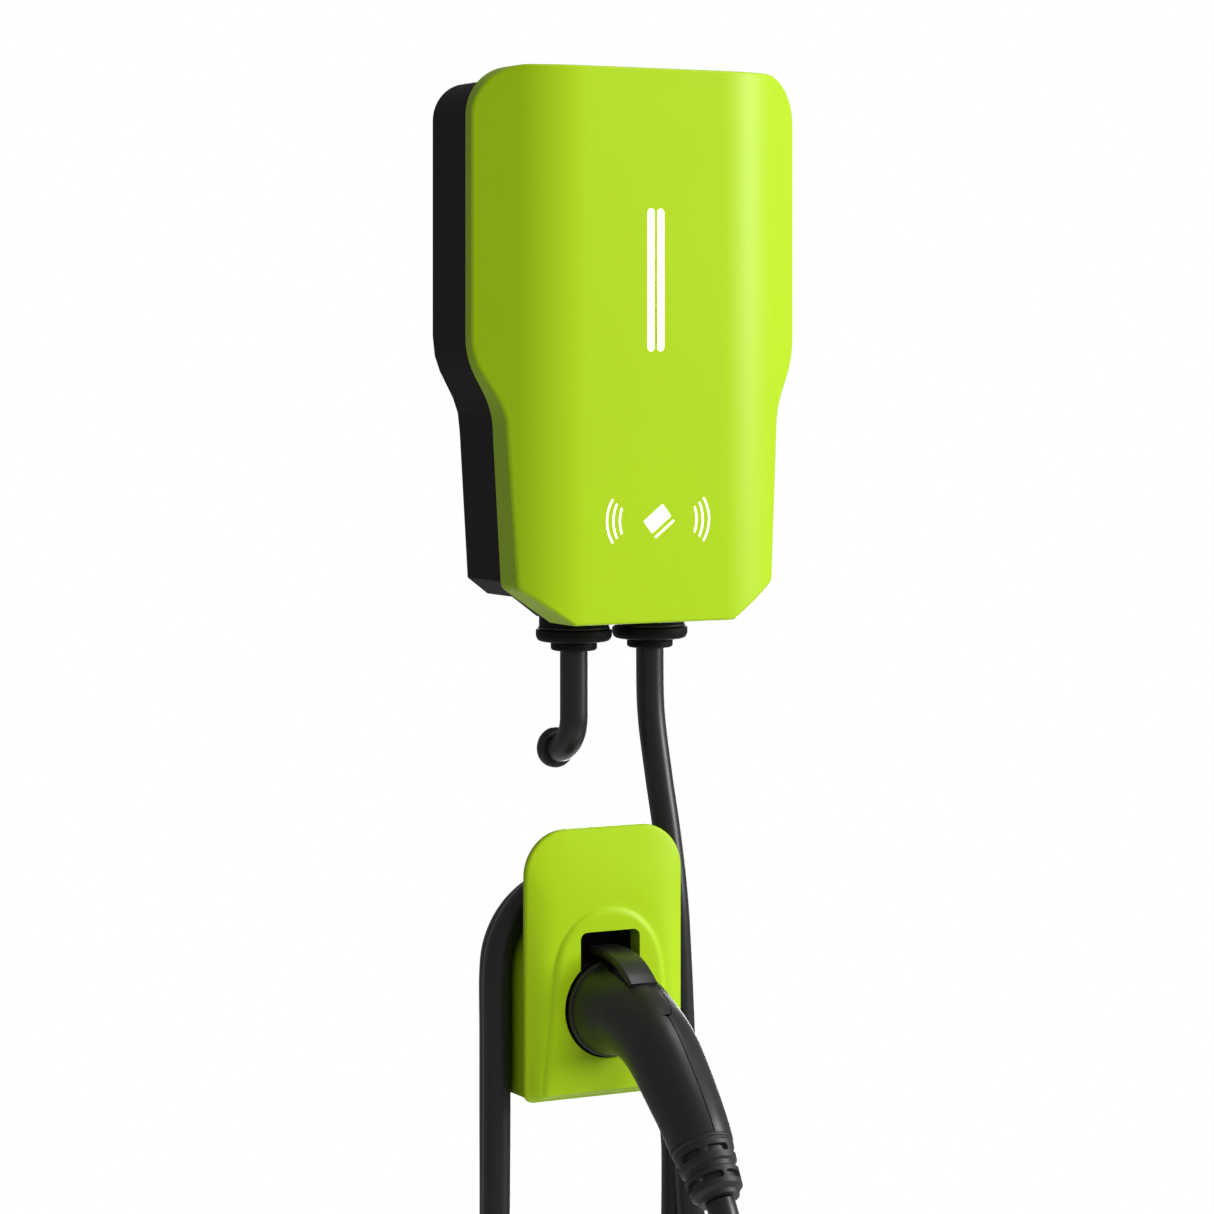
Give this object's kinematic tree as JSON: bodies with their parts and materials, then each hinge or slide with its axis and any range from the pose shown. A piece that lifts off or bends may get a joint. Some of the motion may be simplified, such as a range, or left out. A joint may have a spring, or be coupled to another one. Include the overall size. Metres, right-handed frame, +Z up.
{
  "type": "wall-mounted electric vehicle charger",
  "caption": "Wall-mounted electric vehicle charger with a lime-green cover, twin light strips, a separate holster and a tethered charging cable parked in it.",
  "frame": {"origin": "on the wall plane, behind the middle of the charger box, on the wall bracket's rear face", "axes": "+X right, +Y into the wall, +Z up; the object stands in front of the wall, towards -Y"},
  "size_m": [0.2284, 0.2304, 1.1656],
  "materials": {
    "lime_cover": "satin lime-green moulded plastic",
    "black_housing": "fine matt black moulded plastic",
    "black_connector": "satin black moulded plastic",
    "cable_jacket": "smooth satin black cable jacket",
    "black_rubber": "soft matt rubber",
    "zinc_steel": "zinc-plated",
    "contact_brass": "bright",
    "circuit_board": "green solder mask",
    "light_guide": "white light guide, emissive",
    "grey_plastic": "grey moulded plastic"
  },
  "bodies": {
    "wall_unit": {"front_cover": "lime_cover", "holster_shell": "lime_cover", "rear_housing": "black_housing", "power_relay_1": "black_housing", "power_relay_2": "black_housing", "leakage_sensor": "black_housing", "supply_gland_body": "black_housing", "cable_gland_body": "black_housing", "supply_gland_nut": "black_housing", "cable_gland_nut": "black_housing", "socket_sleeve": "black_housing", "charging_cable": "cable_jacket", "supply_conduit": "cable_jacket", "housing_gasket": "black_rubber", "supply_gland_seal": "black_rubber", "cable_gland_seal": "black_rubber", "wall_grommet": "black_rubber", "wall_bracket": "zinc_steel", "holster_back_plate": "zinc_steel", "holster_screw_1": "zinc_steel", "holster_screw_2": "zinc_steel", "cover_screw_1": "zinc_steel", "cover_screw_2": "zinc_steel", "cover_screw_3": "zinc_steel", "cover_screw_4": "zinc_steel", "bracket_screw_1": "zinc_steel", "bracket_screw_2": "zinc_steel", "bracket_screw_3": "zinc_steel", "bracket_screw_4": "zinc_steel", "supply_gland_locknut": "contact_brass", "cable_gland_locknut": "contact_brass", "main_board": "circuit_board", "led_board": "circuit_board", "reader_board": "circuit_board", "light_guide_left": "light_guide", "light_guide_right": "light_guide", "input_terminal_block": "grey_plastic", "output_terminal_block": "grey_plastic"},
    "connector": {"connector_shell_left": "black_connector", "connector_shell_right": "black_connector", "connector_ring": "black_connector", "connector_nose": "black_connector", "strain_relief": "black_rubber", "charging_cable_tail": "cable_jacket", "latch_pin": "zinc_steel", "contact_pin_1": "contact_brass", "contact_pin_2": "contact_brass", "contact_pin_3": "contact_brass", "contact_pin_4": "contact_brass", "contact_pin_5": "contact_brass", "contact_pin_6": "contact_brass", "contact_pin_7": "contact_brass"},
    "latch": {"latch_lever": "black_connector", "latch_spring": "zinc_steel"}
  },
  "joints": [
    {"name": "connector_pull_out", "type": "slide", "parent": "wall_unit", "child": "connector", "axis": [0, -1, 0], "range_m": [0, 0.08]},
    {"name": "latch_press", "type": "hinge", "parent": "connector", "child": "latch", "pos_m": [-0.023, -0.098, -0.394], "axis": [1, 0, 0], "range_deg": [0, 5], "stiffness_Nm_per_rad": 1, "springref_deg": -5.73}
  ]
}
